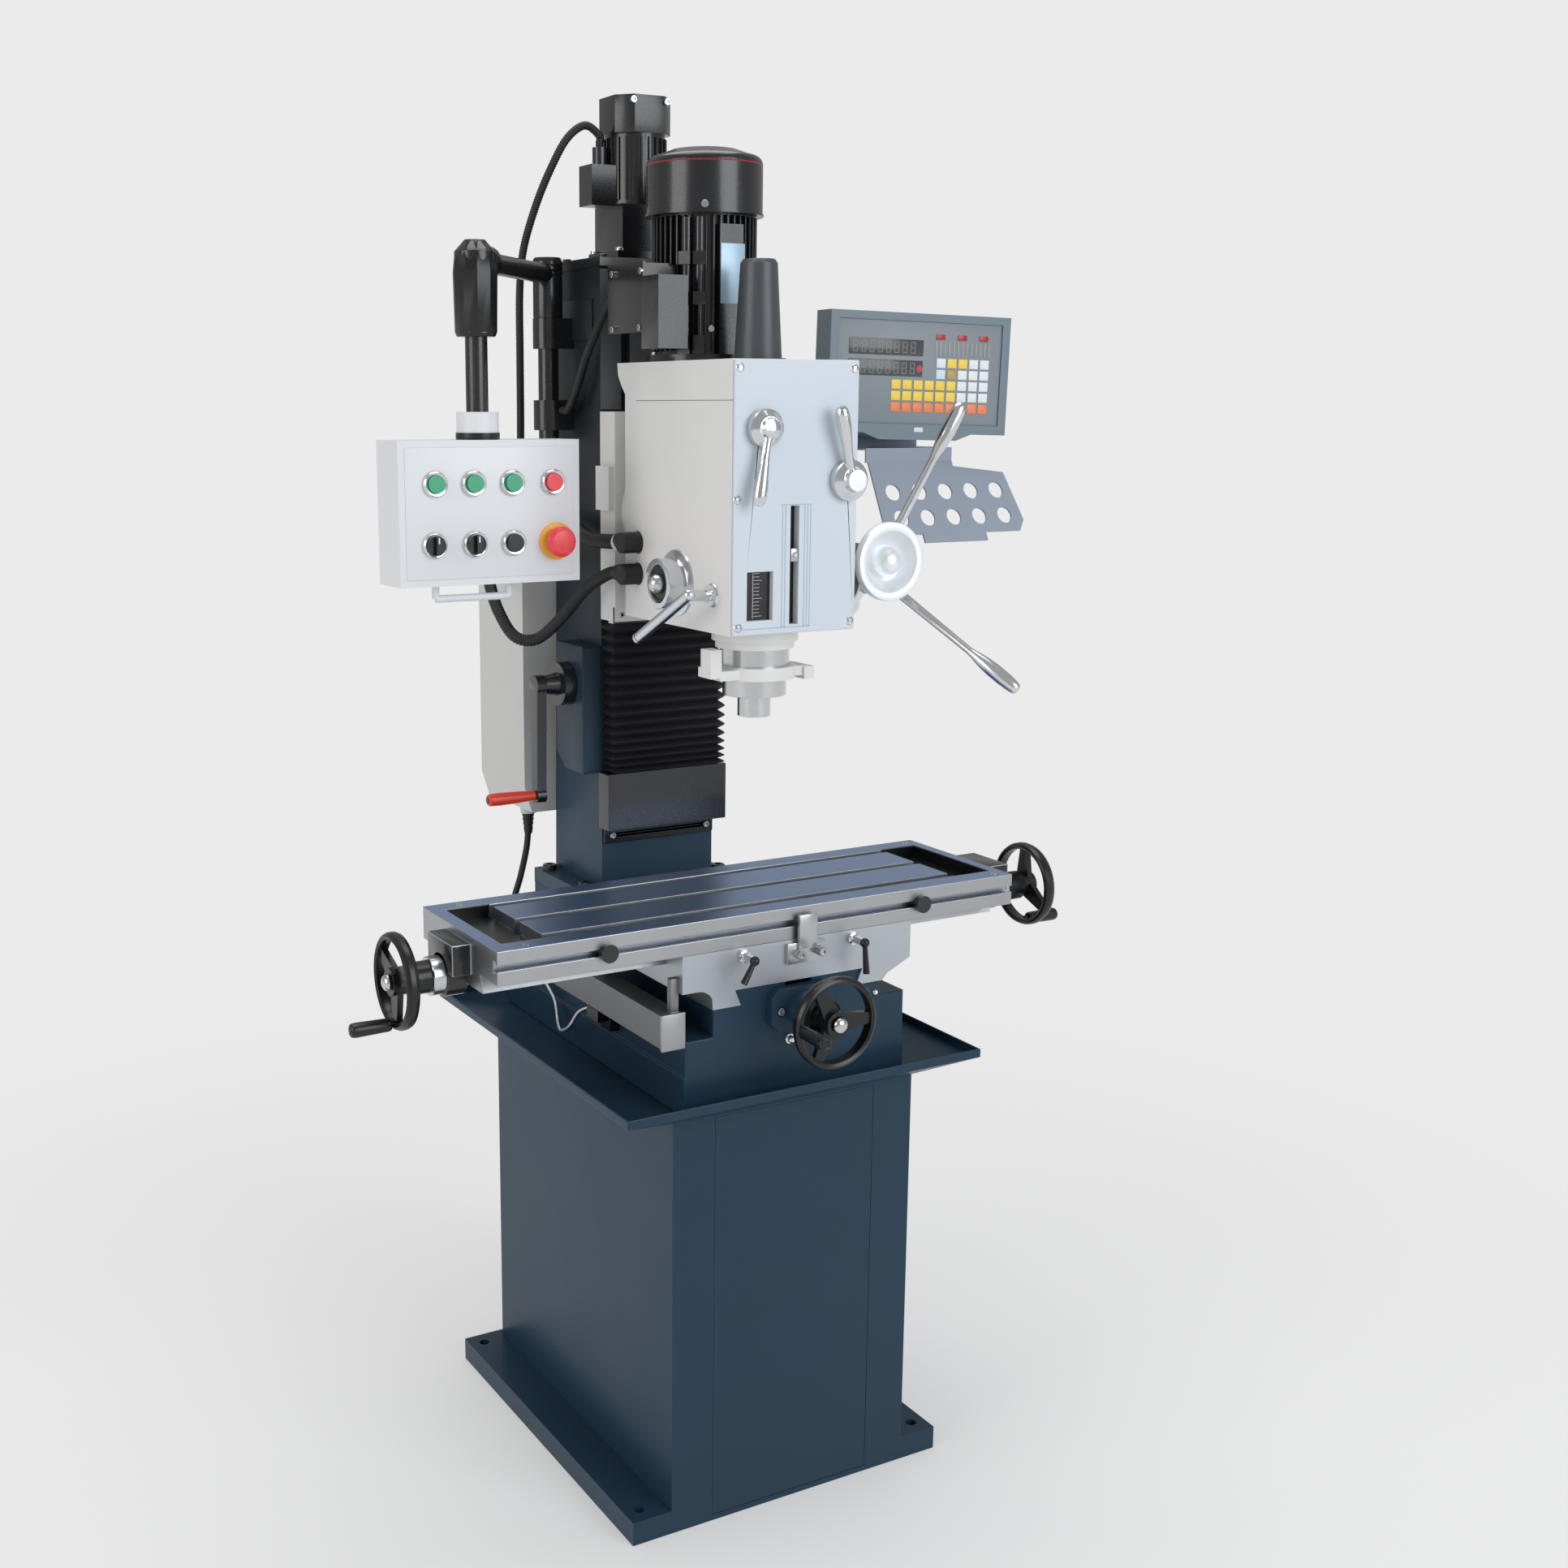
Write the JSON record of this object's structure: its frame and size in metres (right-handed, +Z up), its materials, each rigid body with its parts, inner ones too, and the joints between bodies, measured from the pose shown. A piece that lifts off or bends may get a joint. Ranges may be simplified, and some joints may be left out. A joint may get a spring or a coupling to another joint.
{
  "type": "milling drilling machine",
  "caption": "Milling drilling machine on a floor stand, with dovetail column, tilting geared head, tee-slot table, control pendant and digital readout",
  "frame": {"origin": "centre of the four floor bolts on the underside of the foot frame", "axes": "+X to the operator's right, +Y away from the operator, +Z up"},
  "size_m": [1.219, 0.9368, 1.9502],
  "materials": {
    "slate_paint": "semi-gloss stove enamel",
    "grey_paint": "smooth light grey enamel",
    "panel_paint": "bluish silver enamel",
    "black_enamel": "gloss black enamel",
    "dark_casting": "dark grey enamel",
    "cabinet_paint": "powder coat",
    "rack_paint": "hammered grey enamel",
    "ground_steel": "ground",
    "polished_steel": "polished",
    "satin_aluminium": "satin",
    "scale_aluminium": "anodised",
    "black_plastic": "moulded",
    "black_rubber": "flexible",
    "coated_fabric": "coated cloth pleats",
    "red_plastic": "moulded",
    "green_plastic": "moulded",
    "white_plastic": "moulded",
    "console_plastic": "moulded"
  },
  "bodies": {
    "machine": {"stand_cabinet": "slate_paint", "stand_front_panel": "slate_paint", "chip_tray": "slate_paint", "base_casting": "slate_paint", "y_screw_bracket": "slate_paint", "column": "slate_paint", "lift_motor": "black_enamel", "lift_motor_conduit": "black_rubber", "crank_gearbox": "slate_paint", "electrical_cabinet": "cabinet_paint", "pendant_post": "black_enamel", "bellows": "coated_fabric", "bellows_lower_cover": "black_enamel", "head_hoses": "black_rubber", "motor_conduit": "black_rubber", "y_scale_reader": "black_enamel", "mains_lead": "black_rubber", "mains_coil": "black_rubber", "mains_plug": "black_rubber"},
    "saddle_unit": {"saddle": "ground_steel", "y_scale": "scale_aluminium"},
    "head": {"head_housing": "grey_paint", "head_front_panel": "panel_paint", "main_motor": "black_enamel", "spindle_cap": "black_plastic"},
    "quill_unit": {"quill": "polished_steel", "quill_stop_plate": "grey_paint"},
    "b_cabinet_door": {"cabinet_door": "cabinet_paint"},
    "b_lift_screw": {"lift_screw": "ground_steel"},
    "b_z_crank": {"z_crank": "black_enamel"},
    "b_z_crank_grip": {"z_crank_grip": "red_plastic"},
    "b_saddle_lock_lever_left": {"saddle_lock_lever_left": "black_plastic"},
    "b_saddle_lock_lever_right": {"saddle_lock_lever_right": "black_plastic"},
    "b_y_handwheel": {"y_handwheel": "black_plastic"},
    "b_y_handwheel_grip": {"y_handwheel_grip": "black_plastic"},
    "b_table": {"table": "ground_steel"},
    "b_x_handwheels": {"x_handwheels": "black_plastic"},
    "b_x_handwheel_grip_left": {"x_handwheel_grip_left": "black_plastic"},
    "b_x_handwheel_grip_right": {"x_handwheel_grip_right": "black_plastic"},
    "b_stop_dog_left": {"stop_dog_left": "black_enamel"},
    "b_stop_dog_right": {"stop_dog_right": "black_enamel"},
    "b_head_slide": {"head_slide": "grey_paint"},
    "b_spindle": {"spindle": "polished_steel"},
    "b_feed_hub": {"feed_hub": "polished_steel"},
    "b_fine_feed_wheel": {"fine_feed_wheel": "satin_aluminium"},
    "b_speed_lever_upper": {"speed_lever_upper": "polished_steel"},
    "b_speed_lever_lower": {"speed_lever_lower": "polished_steel"},
    "b_quill_lock_lever": {"quill_lock_lever": "polished_steel"},
    "b_pendant_arm": {"pendant_arm": "black_enamel"},
    "b_pendant_box": {"pendant_box": "white_plastic"},
    "b_push_button_1": {"push_button_1": "green_plastic"},
    "b_push_button_2": {"push_button_2": "green_plastic"},
    "b_push_button_3": {"push_button_3": "green_plastic"},
    "b_push_button_4": {"push_button_4": "red_plastic"},
    "b_push_button_5": {"push_button_5": "black_plastic"},
    "b_emergency_stop": {"emergency_stop": "red_plastic"},
    "b_selector_1": {"selector_1": "black_plastic"},
    "b_selector_2": {"selector_2": "black_plastic"},
    "b_readout_arm": {"readout_arm": "rack_paint"},
    "b_readout_console": {"readout_console": "console_plastic"}
  },
  "joints": [
    {"name": "cross_handwheel", "type": "hinge", "parent": "machine", "child": "b_y_handwheel", "pos_m": [0, -0.3745, 0.729], "axis": [0, 1, 0], "range_deg": [-4321, 7921]},
    {"name": "saddle_travel", "type": "slide", "parent": "machine", "child": "saddle_unit", "axis": [0, 1, 0], "range_m": [-0.06, 0.11]},
    {"name": "cross_grip", "type": "hinge", "parent": "b_y_handwheel", "child": "b_y_handwheel_grip", "pos_m": [-0.05549, -0.4, 0.72803], "axis": [0, 1, 0], "continuous": true},
    {"name": "table_travel", "type": "slide", "parent": "saddle_unit", "child": "b_table", "axis": [1, 0, 0], "range_m": [-0.165, 0.255]},
    {"name": "long_handwheels", "type": "hinge", "parent": "b_table", "child": "b_x_handwheels", "pos_m": [-0.527, -0.171, 0.8091], "axis": [1, 0, 0], "range_deg": [-11881, 18361]},
    {"name": "long_grip_left", "type": "hinge", "parent": "b_x_handwheels", "child": "b_x_handwheel_grip_left", "pos_m": [-0.56, -0.171, 0.7536], "axis": [1, 0, 0], "continuous": true},
    {"name": "long_grip_right", "type": "hinge", "parent": "b_x_handwheels", "child": "b_x_handwheel_grip_right", "pos_m": [0.51, -0.171, 0.7536], "axis": [1, 0, 0], "continuous": true},
    {"name": "stop_dog_left_travel", "type": "slide", "parent": "b_table", "child": "b_stop_dog_left", "axis": [1, 0, 0], "range_m": [-0.11, 0.01]},
    {"name": "stop_dog_right_travel", "type": "slide", "parent": "b_table", "child": "b_stop_dog_right", "axis": [1, 0, 0], "range_m": [0, 0.13]},
    {"name": "gib_lock_left", "type": "hinge", "parent": "saddle_unit", "child": "b_saddle_lock_lever_left", "pos_m": [-0.09, -0.291, 0.811], "axis": [0, 1, 0], "range_deg": [-45, 45]},
    {"name": "gib_lock_right", "type": "hinge", "parent": "saddle_unit", "child": "b_saddle_lock_lever_right", "pos_m": [0.084, -0.291, 0.811], "axis": [0, 1, 0], "range_deg": [-45, 45]},
    {"name": "lift_crank", "type": "hinge", "parent": "machine", "child": "b_z_crank", "pos_m": [-0.15, 0.15, 1.117], "axis": [1, 0, 0], "range_deg": [-10801, 13681]},
    {"name": "lift_crank_grip", "type": "hinge", "parent": "b_z_crank", "child": "b_z_crank_grip", "pos_m": [-0.2, 0.15, 0.953], "axis": [1, 0, 0], "continuous": true},
    {"name": "lift_screw_turn", "type": "hinge", "parent": "machine", "child": "b_lift_screw", "pos_m": [0, 0.15, 1.3], "axis": [0, 0, 1], "range_deg": [-13681, 10801]},
    {"name": "head_lift", "type": "slide", "parent": "machine", "child": "b_head_slide", "axis": [0, 0, 1], "range_m": [-0.15, 0.19], "deforming": ["bellows", "head_hoses", "motor_conduit"]},
    {"name": "head_tilt", "type": "hinge", "parent": "b_head_slide", "child": "head", "pos_m": [0, 0.045, 1.37], "axis": [0, 1, 0], "range_deg": [-12, 20]},
    {"name": "feed_handles", "type": "hinge", "parent": "head", "child": "b_feed_hub", "pos_m": [0.2274, -0.121, 1.286], "axis": [1, 0, 0], "range_deg": [-91.9, 310.2]},
    {"name": "quill_travel", "type": "slide", "parent": "head", "child": "quill_unit", "axis": [0, 0, -1], "range_m": [-0.024, 0.081]},
    {"name": "spindle_turn", "type": "hinge", "parent": "quill_unit", "child": "b_spindle", "pos_m": [0, -0.167, 1.12], "axis": [0, 0, 1], "continuous": true},
    {"name": "fine_feed", "type": "hinge", "parent": "head", "child": "b_fine_feed_wheel", "pos_m": [0.192, -0.2, 1.309], "axis": [0, 1, 0], "continuous": true},
    {"name": "speed_upper", "type": "hinge", "parent": "head", "child": "b_speed_lever_upper", "pos_m": [-0.052, -0.264, 1.491], "axis": [0, 1, 0], "range_deg": [-30, 30]},
    {"name": "speed_lower", "type": "hinge", "parent": "head", "child": "b_speed_lever_lower", "pos_m": [0.0775, -0.264, 1.424], "axis": [0, 1, 0], "range_deg": [-30, 30]},
    {"name": "quill_lock", "type": "hinge", "parent": "head", "child": "b_quill_lock_lever", "pos_m": [-0.095, -0.213, 1.277], "axis": [1, 0, 0], "range_deg": [-30, 30]},
    {"name": "cabinet_door_hinge", "type": "hinge", "parent": "machine", "child": "b_cabinet_door", "pos_m": [0.151, 0.419, 1.17], "axis": [0, 0, -1], "range_deg": [0, 110]},
    {"name": "pendant_arm_swing", "type": "hinge", "parent": "machine", "child": "b_pendant_arm", "pos_m": [-0.125, 0.207, 1.65], "axis": [0, 0, 1], "range_deg": [-50, 5]},
    {"name": "pendant_box_turn", "type": "hinge", "parent": "b_pendant_arm", "child": "b_pendant_box", "pos_m": [-0.321, 0.018, 1.5], "axis": [0, 0, 1], "range_deg": [-45, 45]},
    {"name": "press_1", "type": "slide", "parent": "b_pendant_box", "child": "b_push_button_1", "axis": [0, 1, 0], "range_m": [0, 0.004], "stiffness_N_per_m": 1500, "springref_m": -0.002},
    {"name": "press_2", "type": "slide", "parent": "b_pendant_box", "child": "b_push_button_2", "axis": [0, 1, 0], "range_m": [0, 0.004], "stiffness_N_per_m": 1500, "springref_m": -0.002},
    {"name": "press_3", "type": "slide", "parent": "b_pendant_box", "child": "b_push_button_3", "axis": [0, 1, 0], "range_m": [0, 0.004], "stiffness_N_per_m": 1500, "springref_m": -0.002},
    {"name": "press_4", "type": "slide", "parent": "b_pendant_box", "child": "b_push_button_4", "axis": [0, 1, 0], "range_m": [0, 0.004], "stiffness_N_per_m": 1500, "springref_m": -0.002},
    {"name": "press_5", "type": "slide", "parent": "b_pendant_box", "child": "b_push_button_5", "axis": [0, 1, 0], "range_m": [0, 0.004], "stiffness_N_per_m": 1500, "springref_m": -0.002},
    {"name": "press_stop", "type": "slide", "parent": "b_pendant_box", "child": "b_emergency_stop", "axis": [0, 1, 0], "range_m": [0, 0.004], "stiffness_N_per_m": 2500, "springref_m": -0.002},
    {"name": "switch_1", "type": "hinge", "parent": "b_pendant_box", "child": "b_selector_1", "pos_m": [-0.402, -0.02, 1.34], "axis": [0, 1, 0], "range_deg": [-45, 45]},
    {"name": "switch_2", "type": "hinge", "parent": "b_pendant_box", "child": "b_selector_2", "pos_m": [-0.345, -0.02, 1.34], "axis": [0, 1, 0], "range_deg": [-45, 45]},
    {"name": "readout_arm_swing", "type": "hinge", "parent": "machine", "child": "b_readout_arm", "pos_m": [0.1185, 0.19, 1.54], "axis": [0, 0, 1], "range_deg": [0, 40]},
    {"name": "readout_swivel", "type": "hinge", "parent": "b_readout_arm", "child": "b_readout_console", "pos_m": [0.44, 0.16, 1.5], "axis": [0, 0, 1], "range_deg": [-8, 8]}
  ],
  "couplings": [
    {"joint": "cross_handwheel", "follows": "saddle_travel", "rad_per_m": 1256.6},
    {"joint": "long_handwheels", "follows": "table_travel", "rad_per_m": 1256.6},
    {"joint": "lift_screw_turn", "follows": "head_lift", "rad_per_m": -1256.6},
    {"joint": "lift_crank", "follows": "head_lift", "rad_per_m": 1256.6},
    {"joint": "quill_travel", "follows": "feed_handles", "m_per_rad": 0.014961}
  ]
}
